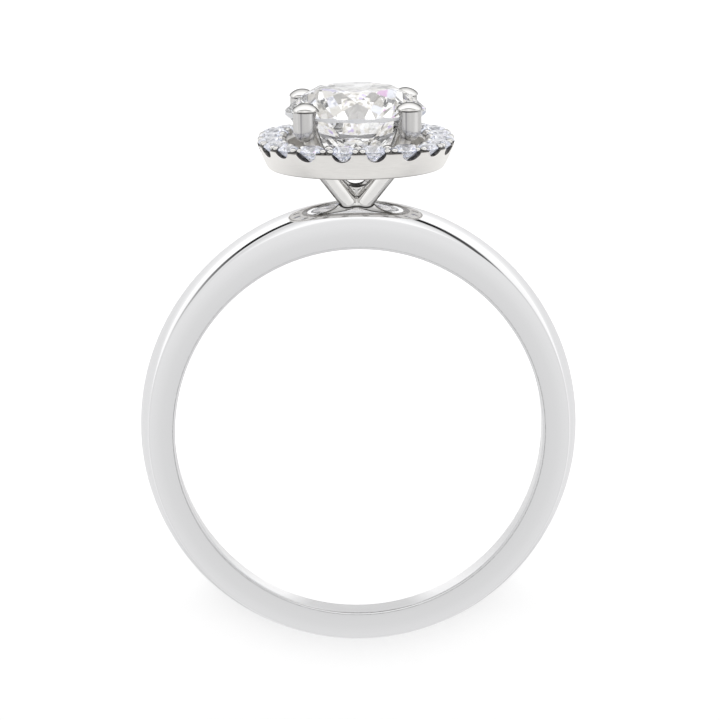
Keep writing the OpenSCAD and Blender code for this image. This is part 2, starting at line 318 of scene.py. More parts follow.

# %% [markdown]
# Prongs are filed lengthwise after the stone is set, and not polished again. The file leaves
# narrow flats a few hundredths of a millimetre deep, too shallow to cut into the mesh, and noise
# stretched along the column makes their borders waver. The greys that a ramp lays across the
# column, measured from the middle of the nearest prong, are painted reflection: a thin dark line,
# a lighter band and darker sides.

# %% Filed white gold of the prongs
# To the eye: long grey streaks with one thin dark line, painted reflection across the column, duller
# than the domed tip above them.
PRONG_D = 1.05
PRONG_GRIP = 0.37
PRONG_R = STONE_R + PRONG_D / 2 - PRONG_GRIP
STREAKS_PER_MM = 5.0
WAVER = 0.12
FILED_HALF_W = 0.55
PRONG_AT = PRONG_R * math.sqrt(0.5)
filed_gold, tree, upright = new_material("filed white gold")
side = node(tree, "ShaderNodeVectorMath", {0: upright}, operation="SIGN")
column = node(
    tree, "ShaderNodeVectorMath", {0: side.outputs[0], 1: (PRONG_AT, PRONG_AT, 0)},
    operation="MULTIPLY",
)
local = node(
    tree, "ShaderNodeVectorMath", {0: upright, 1: column.outputs[0]}, operation="SUBTRACT"
)
stretched = node(
    tree, "ShaderNodeVectorMath", {0: local.outputs[0], 1: (1, 1, 0.04)}, operation="MULTIPLY"
)
streaks = node(
    tree, "ShaderNodeTexNoise",
    {"Vector": stretched.outputs[0], "Scale": STREAKS_PER_MM, "Detail": 3.0},
)
across = node(tree, "ShaderNodeSeparateXYZ", {"Vector": local.outputs[0]})
wavy = node(
    tree, "ShaderNodeMath",
    {0: streaks.outputs["Fac"], 1: WAVER, 2: across.outputs["X"]}, operation="MULTIPLY_ADD",
)
file_flats_and_painted_reflection = node(
    tree, "ShaderNodeMapRange",
    {
        "Value": wavy.outputs["Value"],
        "From Min": WAVER / 2 - FILED_HALF_W, "From Max": WAVER / 2 + FILED_HALF_W,
    },
)
# Painted reflection: across each column a thin dark line, a lighter band and darker sides.
shade = node(
    tree, "ShaderNodeValToRGB", {"Fac": file_flats_and_painted_reflection.outputs["Result"]},
    [(0.0, linear("BEBDBB")), (0.08, linear("CBCAC9")), (0.28, linear("C8C7C6")),
     (0.32, linear("98979A")), (0.36, linear("C8C7C6")), (0.6, linear("D0CFCE")),
     (0.74, linear("D8D7D6")), (0.82, linear("C4C3C2")), (1.0, linear("BAB9B8"))],
)
bump = node(
    tree, "ShaderNodeBump",
    {"Height": streaks.outputs["Fac"], "Strength": 0.3, "Distance": MARK_DEPTH},
)
filed = node(
    tree, "ShaderNodeBsdfPrincipled",
    {
        "Base Color": shade.outputs["Color"], "Metallic": 1.0, "Roughness": 0.25,
        "Normal": bump.outputs["Normal"],
    },
)
node(tree, "ShaderNodeOutputMaterial", {"Surface": filed.outputs["BSDF"]})

# %% [markdown]
# Deep in the seats the metal stays as the setter's bur leaves it: rough, full of chatter marks and
# hardly lit. Such places could be left to shadow alone. In so small a ring they would then mirror
# the stones and vanish, so the metal itself is given dark tones of painted shade.

# %% Burred white gold of the seats, dark with painted shade
# To the eye: the dark, grainy crescents of painted shade that set the small stones off from the wall.
CHATTER_PER_MM = 12.0
painted_shade_gold, tree, upright = new_material("burred white gold with painted shade")
chatter = node(
    tree, "ShaderNodeTexNoise", {"Vector": upright, "Scale": CHATTER_PER_MM, "Detail": 4.0}
)
# Painted shade: dark tones for the seats, the groove floor under the beads and the dash under each
# tip.
painted_shade_tones = node(
    tree, "ShaderNodeValToRGB", {"Fac": chatter.outputs["Fac"]},
    [(0.35, linear("2B2A29")), (0.7, linear("8A8886"))],
)
bump = node(
    tree, "ShaderNodeBump",
    {"Height": chatter.outputs["Fac"], "Strength": 0.4, "Distance": MARK_DEPTH},
)
burred = node(
    tree, "ShaderNodeBsdfPrincipled",
    {
        "Base Color": painted_shade_tones.outputs["Color"], "Metallic": 1.0, "Roughness": 0.45,
        "Normal": bump.outputs["Normal"],
    },
)
node(tree, "ShaderNodeOutputMaterial", {"Surface": burred.outputs["BSDF"]})

# %% [markdown]
# Diamond is clear, with a very high index of refraction, so that nearly all light which enters
# through the crown comes back out. Small stones like the halo's are called melee. In a studio they
# mirror many small lamps as points of light; a real lamp for each would cost much render time,
# so a very faint glow stands for them. It adds up over the many turns light takes inside.

# %% Diamond melee
# To the eye: small, cool, bright stones.
DIAMOND_IOR = 2.417
melee, tree, upright = new_material("diamond melee")
clear = node(
    tree, "ShaderNodeBsdfPrincipled",
    {
        "Base Color": linear("FFFFFF"), "Roughness": 0.0, "IOR": DIAMOND_IOR,
        "Transmission Weight": 1.0, "Emission Color": linear("DDE6FF"), "Emission Strength": 0.04,
    },
)
node(tree, "ShaderNodeOutputMaterial", {"Surface": clear.outputs["BSDF"]})

# %% [markdown]
# The facets of the center stone are polished, but its girdle, the narrow band round the widest
# place, is left as it was ground. The stone is one mesh from the frame and keeps one material, so
# the girdle is found by its distance from the stone's axis, and a second shader is mixed in there.

# %% Brilliant cut diamond
# To the eye: crisp clear facets and a frosted, slightly blue-grey line round the stone.
GRINDING_PER_MM = 0.8
GIRDLE_FROM = 0.9965 * STONE_R
diamond, tree, upright = new_material("brilliant cut diamond")
clear = node(
    tree, "ShaderNodeBsdfPrincipled",
    {"Base Color": linear("FFFFFF"), "Roughness": 0.0, "IOR": DIAMOND_IOR, "Transmission Weight": 1.0},
)
grinding = node(
    tree, "ShaderNodeTexNoise", {"Vector": upright, "Scale": GRINDING_PER_MM, "Detail": 2.0}
)
frost = node(
    tree, "ShaderNodeValToRGB", {"Fac": grinding.outputs["Fac"]},
    [(0.35, linear("B9C0D2")), (0.48, linear("F2F3F6"))],
)
frosted = node(
    tree, "ShaderNodeBsdfPrincipled",
    {
        "Base Color": frost.outputs["Color"], "Roughness": 0.5, "IOR": DIAMOND_IOR,
        "Transmission Weight": 0.35,
    },
)
flat = node(tree, "ShaderNodeVectorMath", {0: upright, 1: (1, 1, 0)}, operation="MULTIPLY")
radius = node(tree, "ShaderNodeVectorMath", {0: flat.outputs[0]}, operation="LENGTH")
on_girdle = node(
    tree, "ShaderNodeMath", {0: radius.outputs["Value"], 1: GIRDLE_FROM}, operation="GREATER_THAN"
)
surface = node(
    tree, "ShaderNodeMixShader",
    {0: on_girdle.outputs["Value"], 1: clear.outputs["BSDF"], 2: frosted.outputs["BSDF"]},
)
node(tree, "ShaderNodeOutputMaterial", {"Surface": surface.outputs["Shader"]})

# %% Give the stones their diamond
for name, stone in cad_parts.items():
    if name != "band_and_head":
        for slot in stone.material_slots:
            slot.material = diamond if name == "center_stone" else melee
print("stones dressed:", len(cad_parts) - 1)

# %% [markdown]
# The band is a low-domed wire bent round: flat sides, a dome outside and a plain wall inside. The
# dome swells towards the head, where it carries the solder joint. A jeweller would forge and file
# it; here a four-cornered section is spun all the way round, its outer edge is cut into short
# steps, and each point is then moved out to the height the band has at its angle. The edges of the
# finger hole are rounded for comfort, and the shoulders only broken with a polishing wheel.

# %% The band's two laws
DOME_BOTTOM = 0.16
DOME_SIDE = 0.34


def shoulder_r(angle):
    """Radius where the flat side meets the dome; angles count from +X to the head."""
    return FINGER_R + FLANK_H + FLANK_RISE * max(math.sin(angle), 0) ** 1.5


def dome_h(angle):
    """Height of the dome over the shoulders."""
    s = math.sin(angle)
    if s > 0:
        return DOME_SIDE + (DOME_TOP - DOME_SIDE) * (s + s**6) / 2
    return DOME_SIDE + (DOME_SIDE - DOME_BOTTOM) * s


print(f"crown at {shoulder_r(math.pi / 2) + dome_h(math.pi / 2):.3f} mm, made {CROWN_TOP:.3f} mm")

# %% Spin a section, and finish a piece
INNER, OUTER = 1.0, 2.0


def spin_section(corners, cuts, axis, steps):
    """Spin a four-cornered section into a closed ring; cuts are (sides, cuts) for finer sides."""
    bm = bmesh.new()
    points = [bm.verts.new(corner) for corner in corners]
    sides = [bm.edges.new((points[i], points[(i + 1) % 4])) for i in range(4)]
    for numbers, count in cuts:
        bmesh.ops.subdivide_edges(bm, edges=[sides[i] for i in numbers], cuts=count)
    bmesh.ops.spin(
        bm, geom=bm.verts[:] + bm.edges[:], cent=(0, 0, 0), axis=axis, angle=2 * math.pi,
        steps=steps, use_merge=True,
    )
    return bm


def finish_piece(name, bm, material, smooth_angle=math.radians(40)):
    """Turn a bmesh drawn upright in millimetres into a smooth piece of the laid ring."""
    bmesh.ops.recalc_face_normals(bm, faces=bm.faces)
    bmesh.ops.transform(bm, matrix=LAY_MM, verts=bm.verts)
    for face in bm.faces:
        face.smooth = True
    for edge in bm.edges:
        edge.smooth = not edge.is_manifold or edge.calc_face_angle() < smooth_angle
    mesh = bpy.data.meshes.new(name)
    bm.to_mesh(mesh)
    bm.free()
    mesh.materials.append(material)
    piece = bpy.data.objects.new(name, mesh)
    scene.collection.objects.link(piece)
    print(f"{name}: {len(mesh.polygons)} faces")
    return piece


# %% Shape the band
FLANK_ROUND = 0.012
ROUND_FROM = 0.35
bm = spin_section(
    ((INNER, -1, 0), (INNER, 1, 0), (OUTER, 1, 0), (OUTER, -1, 0)),
    cuts=(((2,), 23), ((1, 3), 11)), axis=(0, 1, 0), steps=288,
)
for v in bm.verts:
    angle = math.atan2(v.co.z, v.co.x)
    out = math.hypot(v.co.x, v.co.z) - INNER
    side = v.co.y
    rounding = max(out - ROUND_FROM, 0) ** 2.5 / (1 - ROUND_FROM) ** 2.5
    half_w = BAND_W / 2 - FLANK_ROUND * rounding
    r = FINGER_R + out * (shoulder_r(angle) - FINGER_R)
    if out > 0.999:
        h = dome_h(angle)
        arc_r = (h * h + half_w * half_w) / (2 * h)
        r += h - arc_r + math.sqrt(arc_r * arc_r - (half_w * side) ** 2)
    v.co = (r * math.cos(angle), half_w * side, r * math.sin(angle))
print("band before its edges are rounded:", len(bm.verts), "points")

# %% Round the band's edges
HOLE_EDGE_R = 0.13
SHOULDER_BREAK = 0.04


def sharp_edges(bm, at_hole, least=math.radians(20)):
    """Edges round the band that turn sharply, at the finger hole or at the shoulder."""
    middle = FINGER_R + FLANK_H / 2
    found = []
    for e in bm.edges:
        inside = math.hypot(e.verts[0].co.x, e.verts[0].co.z) < middle
        if inside == at_hole and e.calc_face_angle() > least:
            found.append(e)
    return found


for at_hole, offset, segments in ((True, HOLE_EDGE_R, 6), (False, SHOULDER_BREAK, 4)):
    bmesh.ops.bevel(
        bm, geom=sharp_edges(bm, at_hole), offset=offset, offset_type="OFFSET",
        segments=segments, profile=0.5, affect="EDGES", clamp_overlap=False, material=-1,
    )
band = finish_piece("band", bm, white_gold, math.radians(80))

# Large faces decide the shading, so that the flat sides stay flat next to their soft edges.
even_shading = band.modifiers.new("even shading", "WEIGHTED_NORMAL")
even_shading.keep_sharp = True
even_shading.weight = 60

# %% [markdown]
# The halo is a thin-walled cup that follows the center stone: round at its foot, a soft cushion at
# its rim. It could be lathed and filed square; here a section is spun and each ring of points is
# pushed out to the cushion outline of its height. The outline is a superellipse, the curve
# between a circle and a square.

# %% Cushion outline and wall
RIM_SQUARENESS = 2.8
WALL_LEAN = 0.55
FOOT_TUCK = 0.14
TUCK_TO = 0.07
INNER_RIM_W = 0.12
BORE_R = STONE_R + STONE_TO_HALO - INNER_RIM_W


def cushion_r(angle, half, squareness):
    """Radius of a soft square at an angle, for its half width."""
    c, s = abs(math.cos(angle)), abs(math.sin(angle))
    return half / (c**squareness + s**squareness) ** (1 / squareness)


def wall_lean_share(t):
    """How far the wall has come out at a share t of its height, with a tucked-in foot."""
    return t**0.8 - FOOT_TUCK * max(1 - t / TUCK_TO, 0) ** 2


def at_outer_wall(v):
    """Whether a point of a spun section still stands at its outer side."""
    return math.hypot(v.co.x, v.co.y) > (INNER + OUTER) / 2


UPRIGHT_SECTION = ((INNER, 0, 0), (OUTER, 0, 0), (OUTER, 0, 1), (INNER, 0, 1))
HALO_STEPS = 240
bm = spin_section(UPRIGHT_SECTION, cuts=(((1,), 23),), axis=(0, 0, 1), steps=HALO_STEPS)
for v in bm.verts:
    angle = math.atan2(v.co.y, v.co.x)
    t = v.co.z**1.6
    r = BORE_R
    if at_outer_wall(v):
        half = RIM_HALF - WALL_LEAN * (1 - wall_lean_share(t))
        r = cushion_r(angle, half, 2 + (RIM_SQUARENESS - 2) * t)
    v.co = (r * math.cos(angle), r * math.sin(angle), HALO_FOOT_Z + t * HALO_H)
halo_cup = finish_piece("halo_cup", bm, brushed_gold)

# %% [markdown]
# Between the small stones the setter cuts a narrow groove to raise the beads, and leaves its floor
# rough. The groove could be cut into the cup. Here its floor is a second, slightly narrower ring,
# which stands a little over the wall, because a piece of its own can carry painted shade: the dark
# line under the beads.

# %% Floor of the groove under the beads
GROOVE_IN, GROOVE_OUT = 0.3, 0.06
GROOVE_BELOW, GROOVE_H = 0.05, 0.12
bm = spin_section(UPRIGHT_SECTION, cuts=(), axis=(0, 0, 1), steps=HALO_STEPS)
for v in bm.verts:
    angle = math.atan2(v.co.y, v.co.x)
    inset = GROOVE_OUT if at_outer_wall(v) else GROOVE_IN
    r = cushion_r(angle, RIM_HALF - inset, RIM_SQUARENESS)
    v.co = (r * math.cos(angle), r * math.sin(angle), RIM_Z - GROOVE_BELOW + GROOVE_H * v.co.z)
# The groove floor is dark with painted shade.
groove = finish_piece("groove", bm, painted_shade_gold)

# %% [markdown]
# Twenty small brilliants sit in the rim. Each needs a seat: room for the stone, a round-bottomed
# notch that opens the wall in front of it, and an azure, the small hole a setter drills under a
# stone so that light gets in. The seats are closed tools, taken away with the boolean modifier.
# Neighbouring rooms touch, so they are cut in two turns, every second one at a time.

# %% Places of the halo stones
QUARTER_ANGLES = (10, 30, 45, 60, 80)
CORNER_STONE_D = 1.001
SEAT_H = 0.1
HALO_SEATS = []
for k in range(4 * len(QUARTER_ANGLES)):
    turn, step = divmod(k, len(QUARTER_ANGLES))
    angle = math.radians(90 * turn + QUARTER_ANGLES[step])
    d = CORNER_STONE_D if QUARTER_ANGLES[step] == 45 else HALO_STONE_D
    r = cushion_r(angle, RIM_HALF, RIM_SQUARENESS) - RIM_W - d / 2
    HALO_SEATS.append((Vector((r * math.cos(angle), r * math.sin(angle), RIM_Z + SEAT_H)), angle, d))
print("halo stones:", len(HALO_SEATS))

# %% Room for a brilliant
SEAT_GAP = 0.03
TABLE_SHARE, STAR_SHARE, GIRDLE_SHARE = 0.56, 0.55, 0.035
CROWN_RISE = math.tan(math.radians(35))
PAVILION_FALL = math.tan(math.radians(40.75))
FACET_MIDDLE = math.cos(math.pi / 8)


def spin_outline(bm, outline, steps):
    """Spin a half outline, from axis to axis, into a closed body; returns its points."""
    points = [bm.verts.new((r, 0, z)) for r, z in outline]
    edges = [bm.edges.new(pair) for pair in zip(points, points[1:])]
    bmesh.ops.spin(
        bm, geom=points + edges, cent=(0, 0, 0), axis=(0, 0, 1), angle=2 * math.pi, steps=steps,
        use_merge=True,
    )
    bmesh.ops.remove_doubles(bm, verts=[v for v in bm.verts if not v.tag], dist=1e-5)
    fresh = [v for v in bm.verts if not v.tag]
    for v in fresh:
        v.tag = True
    return fresh


def add_room(bm, d, matrix):
    """Room for a brilliant of diameter d with a gap round it."""
    r = d / 2 + SEAT_GAP
    half_girdle = GIRDLE_SHARE * d / 2 + SEAT_GAP
    table_in = TABLE_SHARE * d / 2 * FACET_MIDDLE
    star_r = table_in + STAR_SHARE * (d / 2 - table_in)
    star_z = half_girdle + (d / 2 - star_r * FACET_MIDDLE) * CROWN_RISE
    outline = (
        (0, -half_girdle - r * PAVILION_FALL), (r, -half_girdle), (r, half_girdle),
        (star_r + SEAT_GAP, star_z), (0, star_z + (star_r + SEAT_GAP) * CROWN_RISE),
    )
    bmesh.ops.transform(bm, matrix=matrix, verts=spin_outline(bm, outline, 64))


def add_cylinder(bm, d, length, matrix, segments=48):
    """A closed cylinder that runs along +Z from the matrix's origin."""
    bmesh.ops.create_cone(
        bm, cap_ends=True, segments=segments, radius1=d / 2, radius2=d / 2, depth=length,
        matrix=matrix @ Matrix.Translation((0, 0, length / 2)),
    )


# %% Tools for the seats
NOTCH_SHARE = 0.74
AZURE_D = 0.42
rooms = [bmesh.new(), bmesh.new()]
notches, azures = bmesh.new(), bmesh.new()
foot_r = (BORE_R + RIM_HALF - (1 + FOOT_TUCK) * WALL_LEAN) / 2
for k, (place, angle, d) in enumerate(HALO_SEATS):
    outward = Matrix.Translation(place) @ Matrix.Rotation(angle, 4, "Z")
    add_room(rooms[k % 2], d, Matrix.Translation(place))
    add_cylinder(notches, NOTCH_SHARE * d, d, outward @ Matrix.Rotation(math.pi / 2, 4, "Y"))
    drop = place.z - HALO_FOOT_Z
    lean = math.atan2(place.xy.length - foot_r, drop)
    downward = outward @ Matrix.Rotation(math.pi + lean, 4, "Y")
    add_cylinder(azures, AZURE_D, drop + 1, downward, 32)
tools = [
    finish_piece("seat_rooms_even", rooms[0], buffed_gold),
    finish_piece("seat_rooms_odd", rooms[1], buffed_gold),
    # The notches' new faces carry painted shade into the wall.
    finish_piece("seat_notches", notches, painted_shade_gold),
    finish_piece("seat_azures", azures, brushed_gold),
]


# %% Cut the seats
def apply_modifiers(piece):
    """Keep the result of a piece's modifiers as its own mesh."""
    depsgraph = bpy.context.evaluated_depsgraph_get()
    mesh = bpy.data.meshes.new_from_object(piece.evaluated_get(depsgraph), depsgraph=depsgraph)
    piece.modifiers.clear()
    piece.data = mesh


def cut(piece, tool, keep_finish=False):
    """Take one closed mesh away from another; the new faces get the tool's finish."""
    modifier = piece.modifiers.new("cut", "BOOLEAN")
    modifier.operation = "DIFFERENCE"
    modifier.solver = "MANIFOLD"
    modifier.material_mode = "INDEX" if keep_finish else "TRANSFER"
    modifier.object = tool
    before = len(piece.data.polygons)
    apply_modifiers(piece)
    print(f"{piece.name}: cut by {tool.name}, {before} -> {len(piece.data.polygons)} faces")


for tool in tools:
    cut(halo_cup, tool)
    cut(groove, tool)

# %% [markdown]
# Beads of metal hold the small stones: the setter raises a burr in each gap with a graver, splits
# the outer one in two like a fish's tail, and pushes them over the edges of both neighbours. Each
# is a small flattened ball that the rooms of its two stones then trim to a sharp triangle.

# %% Beads between the halo stones
BEADS = (
    # along the rim, outwards as a share of the stones' radius, up, half sizes
    (-0.17, 0.74, 0.04, (0.16, 0.17, 0.11)),
    (0.17, 0.74, 0.04, (0.16, 0.17, 0.11)),
    (0.0, -0.75, 0.02, (0.22, 0.22, 0.17)),
)
bm = bmesh.new()
for k, (a, _, d1) in enumerate(HALO_SEATS):
    b, _, d2 = HALO_SEATS[(k + 1) % len(HALO_SEATS)]
    along = (b - a).normalized()
    outward = Vector((along.y, -along.x, 0))
    stone_r = (d1 + d2) / 4
    turn = Matrix.Rotation(math.atan2(along.y, along.x), 4, "Z")
    for shift, out, lift, size in BEADS:
        place = (a + b) / 2 + shift * along + out * stone_r * outward + Vector((0, 0, lift))
        bmesh.ops.create_icosphere(
            bm, subdivisions=3, radius=1,
            matrix=Matrix.Translation(place) @ turn @ Matrix.Diagonal((*size, 1)),
        )
beads = finish_piece("beads", bm, buffed_gold, math.radians(35))
for tool in tools[:2]:
    cut(beads, tool, keep_finish=True)
for tool in tools:
    bpy.data.objects.remove(tool)

# %% [markdown]
# Four prongs carry the center stone. Their arms leave one soldered base on the band, lean out
# under the halo and end in straight columns with domed tips. In wax they would be one piece with
# soft inner corners, so the arms and the base are drawn as plain tubes and a ball, melted
# together with a fine voxel remesh, and smoothed. Columns and tips stay crisp.

# %% Arms and base
STONE_LIFT = 1.38
GIRDLE_Z = RIM_Z + STONE_LIFT
ARM_D = 0.86
BEND_SWELL = 1.02
BASE_R, BASE_BELOW = 0.7, 0.35


def path_point(share_r, share_z):
    """A point of the prong's centerline from its shares of radius and height."""
    return Vector((share_r * PRONG_R, 0, CROWN_TOP + share_z * (GIRDLE_Z - CROWN_TOP)))


ARM_PATH = [path_point(0.175, 0.02), path_point(0.69, 0.45), path_point(0.965, 0.91)]
bm = bmesh.new()
for quarter in range(4):
    turn = Matrix.Rotation(math.radians(45 + 90 * quarter), 4, "Z")
    for start, end in zip(ARM_PATH, ARM_PATH[1:]):
        run = end - start
        along = turn @ Matrix.Translation(start) @ run.to_track_quat("Z", "Y").to_matrix().to_4x4()
        add_cylinder(bm, ARM_D, run.length, along)
        bmesh.ops.create_icosphere(
            bm, subdivisions=4, radius=BEND_SWELL * ARM_D / 2,
            matrix=turn @ Matrix.Translation(start),
        )
bmesh.ops.create_icosphere(
    bm, subdivisions=4, radius=BASE_R, matrix=Matrix.Translation((0, 0, CROWN_TOP - BASE_BELOW))
)
prong_arms = finish_piece("prong_arms", bm, buffed_gold)

# %% [markdown]
# Webs fill the corners between the arms, with a round saddle between every two. They start as one
# small cone, and two crossing rods shape all four saddles. The cone joins the arms before the melt.

# %% Webs between the arms
WEB_D, WEB_LIFT, WEB_FLARE = 1.5, 0.67, 0.75
SADDLE_R = 0.7
ROD_L = 4
bm = bmesh.new()
web_h = WEB_LIFT + SADDLE_R / 2
bmesh.ops.create_cone(
    bm, cap_ends=True, segments=48, radius1=WEB_D / 2 - WEB_FLARE * WEB_LIFT,
    radius2=WEB_D / 2 + WEB_FLARE * SADDLE_R / 2, depth=web_h,
    matrix=Matrix.Translation((0, 0, CROWN_TOP + web_h / 2)),
)
web = finish_piece("web", bm, buffed_gold)
saddle_middle = Matrix.Translation((0, 0, CROWN_TOP + WEB_LIFT + SADDLE_R))
for quarter in range(2):
    bm = bmesh.new()
    rod = saddle_middle @ Matrix.Rotation(math.pi / 2 * quarter, 4, "Z")
    level_rod = rod @ Matrix.Rotation(math.pi / 2, 4, "Y")
    add_cylinder(bm, 2 * SADDLE_R, ROD_L, level_rod @ Matrix.Translation((0, 0, -ROD_L / 2)))
    saddle = finish_piece(f"saddle_{quarter}", bm, buffed_gold)
    cut(web, saddle, keep_finish=True)
    bpy.data.objects.remove(saddle)
bm = bmesh.new()
bm.from_mesh(prong_arms.data)
bm.from_mesh(web.data)
bm.to_mesh(prong_arms.data)
bm.free()
bpy.data.objects.remove(web)

# %% Melt the arms, the base and the webs together
remesh = prong_arms.modifiers.new("melt", "REMESH")
remesh.mode = "VOXEL"
remesh.voxel_size = 0.035e-3
remesh.use_smooth_shade = True
smooth = prong_arms.modifiers.new("polish", "SMOOTH")
smooth.factor = 0.5
smooth.iterations = 12
apply_modifiers(prong_arms)
print("prong_arms:", len(prong_arms.data.polygons), "faces after the remesh")

# %% [markdown]
# Each column is a straight rod with a rounded foot, a shallow groove under the tip and the tip's
# low dome, which stands a little wider and closer to the stone than the rod. All of it is one half
# outline, spun like a turned pin. A short table gives the groove and the tip's edge, and the arcs of
# the foot and the dome come from a formula.

# %% Outline of a column with its tip
TIP_D, TIP_H, TIP_DOME_H = 1.17, 0.74, 0.27
TIP_TOP = GIRDLE_Z + TIP_H
TIP_EDGE = TIP_TOP - TIP_DOME_H
DOME_SHARE = 0.97
COLUMN_R = PRONG_D / 2 + 0.015
FOOT_Z = ARM_PATH[2].z - 0.09
FOOT_LENGTH = 1.1 * COLUMN_R
FOOT_STEPS, DOME_STEPS = 8, 9
UNDER_TIP = (
    # radius, depth below the dome's edge
    (COLUMN_R, 0.15),
    (COLUMN_R - 0.03, 0.13),
    (COLUMN_R - 0.03, 0.1),
    (TIP_D / 2 - 0.02, 0.09),
    (TIP_D / 2, 0.07),
    (TIP_D / 2, 0.02),
)
outline = [(0.0, FOOT_Z - FOOT_LENGTH)]
for i in range(1, FOOT_STEPS + 1):
    a = math.pi / 2 * i / FOOT_STEPS
    outline.append((COLUMN_R * math.sin(a), FOOT_Z - FOOT_LENGTH * math.cos(a)))
outline += [(r, TIP_EDGE - depth) for r, depth in UNDER_TIP]
dome_r = (TIP_DOME_H**2 + (TIP_D / 2) ** 2) / (2 * TIP_DOME_H)
for i in range(DOME_STEPS + 1):
    a = math.asin(DOME_SHARE * TIP_D / 2 / dome_r) * (1 - i / DOME_STEPS)
    outline.append((dome_r * math.sin(a), TIP_TOP - dome_r * (1 - math.cos(a))))
print("column outline:", len(outline), "points")

# %% Columns with their tips
TIP_SHIFT = 0.03
TIP_FOOT, GROOVE_FOOT = 0.095, 0.16
bm = bmesh.new()
for quarter in range(4):
    column = spin_outline(bm, outline, 48)
    for v in column:
        v.co.x += PRONG_R - (TIP_SHIFT if v.co.z > TIP_EDGE - TIP_FOOT else 0)
    turn = Matrix.Rotation(math.radians(45 + 90 * quarter), 4, "Z")
    bmesh.ops.transform(bm, matrix=turn, verts=column)
# Tips get the buffed finish; the groove under each tip, where it faces front or back, gets painted
# shade.
for face in bm.faces:
    height = face.calc_center_median().z - TIP_EDGE
    if height > -TIP_FOOT:
        face.material_index = 1
    elif height > -GROOVE_FOOT and abs(face.normal.y) > 0.75:
        face.material_index = 2
prong_columns = finish_piece("prong_columns", bm, filed_gold)
prong_columns.data.materials.append(buffed_gold)
prong_columns.data.materials.append(painted_shade_gold)

# %% Seat of the center stone
bm = bmesh.new()
add_room(bm, 2 * STONE_R, Matrix.Translation((0, 0, GIRDLE_Z)))
stone_tool = finish_piece("center_stone_room", bm, buffed_gold)
cut(prong_columns, stone_tool)
cut(prong_arms, stone_tool)
bpy.data.objects.remove(stone_tool)

# %% [markdown]
# Jewellery is lit by what it mirrors. A white sweep, a bright panel low behind the head, a big
# soft box overhead and one dark gap between them draw the bright and dark streaks on the dome.
# Lamps and cards could be placed as objects; a world painted by direction is simpler and has less
# noise. The sine of the elevation picks a brightness, and the compass chooses between three skies:
# towards the head, beside the ring and elsewhere.

# %% Directions in the world
WORLD_SCALE = 1.6
world = bpy.data.worlds.new("studio")
scene.world = world
world.use_nodes = True
tree = world.node_tree
tree.nodes.clear()
direction = node(tree, "ShaderNodeTexCoord").outputs["Generated"]
height = node(tree, "ShaderNodeSeparateXYZ", {"Vector": direction}).outputs["Z"]
flat = node(tree, "ShaderNodeVectorMath", {0: direction, 1: (1, 1, 0)}, operation="MULTIPLY")
compass = node(tree, "ShaderNodeVectorMath", {0: flat.outputs[0]}, operation="NORMALIZE")


def by_elevation(stops):
    """Ramp stops by the sine of the elevation, from (degrees, radiance) pairs."""
    return [
        (max(math.sin(math.radians(degrees)), 0), [radiance / WORLD_SCALE] * 3 + [1])
        for degrees, radiance in stops
    ]


# %% Three skies
toward_head = node(
    tree, "ShaderNodeValToRGB", {"Fac": height},
    by_elevation(
        [(0, 1.45), (17, 1.45), (30, 1.1), (37, 0.85), (44, 0.95), (52, 1.12), (60, 1.3),
         (68, 1.3), (76, 1.15), (84, 1.08), (90, 1.05)]
    ),
)
elsewhere = node(
    tree, "ShaderNodeValToRGB", {"Fac": height},
    by_elevation([(0, 0.98), (30, 0.94), (50, 0.87), (60, 0.88), (70, 0.93), (80, 1.0), (90, 1.05)]),
)
beside = node(
    tree, "ShaderNodeValToRGB", {"Fac": height},
    by_elevation([(0, 1.25), (25, 1.1), (50, 0.87), (60, 0.88), (70, 0.93), (80, 1.0), (90, 1.05)]),
)
either_side = node(
    tree, "ShaderNodeVectorMath", {0: compass.outputs[0]}, operation="ABSOLUTE"
)
sideways = node(tree, "ShaderNodeSeparateXYZ", {"Vector": either_side.outputs[0]}).outputs["X"]
facing_side = node(
    tree, "ShaderNodeMapRange", {"Value": sideways, "From Min": 0.6, "From Max": 0.95},
    interpolation_type="SMOOTHSTEP",
)
around_ring = node(
    tree, "ShaderNodeMix",
    {
        "Factor": facing_side.outputs["Result"],
        6: elsewhere.outputs["Color"], 7: beside.outputs["Color"],
    },
    data_type="RGBA",
)
head_side = node(tree, "ShaderNodeSeparateXYZ", {"Vector": compass.outputs[0]}).outputs["Y"]
facing_head = node(
    tree, "ShaderNodeMapRange", {"Value": head_side, "From Min": 0.3, "From Max": 0.9},
    interpolation_type="SMOOTHSTEP",
)
open_sky = node(
    tree, "ShaderNodeMix",
    {
        "Factor": facing_head.outputs["Result"],
        6: around_ring.outputs[2], 7: toward_head.outputs["Color"],
    },
    data_type="RGBA",
)
print("steps of light towards the head:", len(toward_head.color_ramp.elements))

# %% [markdown]
# The dark gap between panel and soft box gives polished metal its one black streak. It hangs a
# little askew, and it only opens in two directions near the head, each with its own share, so the
# streak is long on one shoulder of the band and short on the other.

# %% Dark gap
ASKEW = (-0.16, 0, 1)
GAP_SIDES = (
    # direction, where it begins and is full, share
    ((-0.25, 0.97, 0), -0.4, 0.7, 0.55),
    ((0.11, 0.99, 0), 0.35, 0.7, 0.45),
)
askew = node(tree, "ShaderNodeVectorMath", {0: direction, 1: ASKEW}, operation="DOT_PRODUCT")
gap = node(
    tree, "ShaderNodeValToRGB", {"Fac": askew.outputs["Value"]},
    by_elevation([(0, 1.6), (20, 1.6), (23.5, 0.03), (33, 0.03), (36.5, 1.6)]),
)
gap_shares = []
for toward, first, last, most in GAP_SIDES:
    side = node(
        tree, "ShaderNodeVectorMath", {0: compass.outputs[0], 1: toward}, operation="DOT_PRODUCT"
    )
    share = node(
        tree, "ShaderNodeMapRange",
        {"Value": side.outputs["Value"], "From Min": first, "From Max": last, "To Max": most},
    )
    gap_shares.append(share.outputs["Result"])
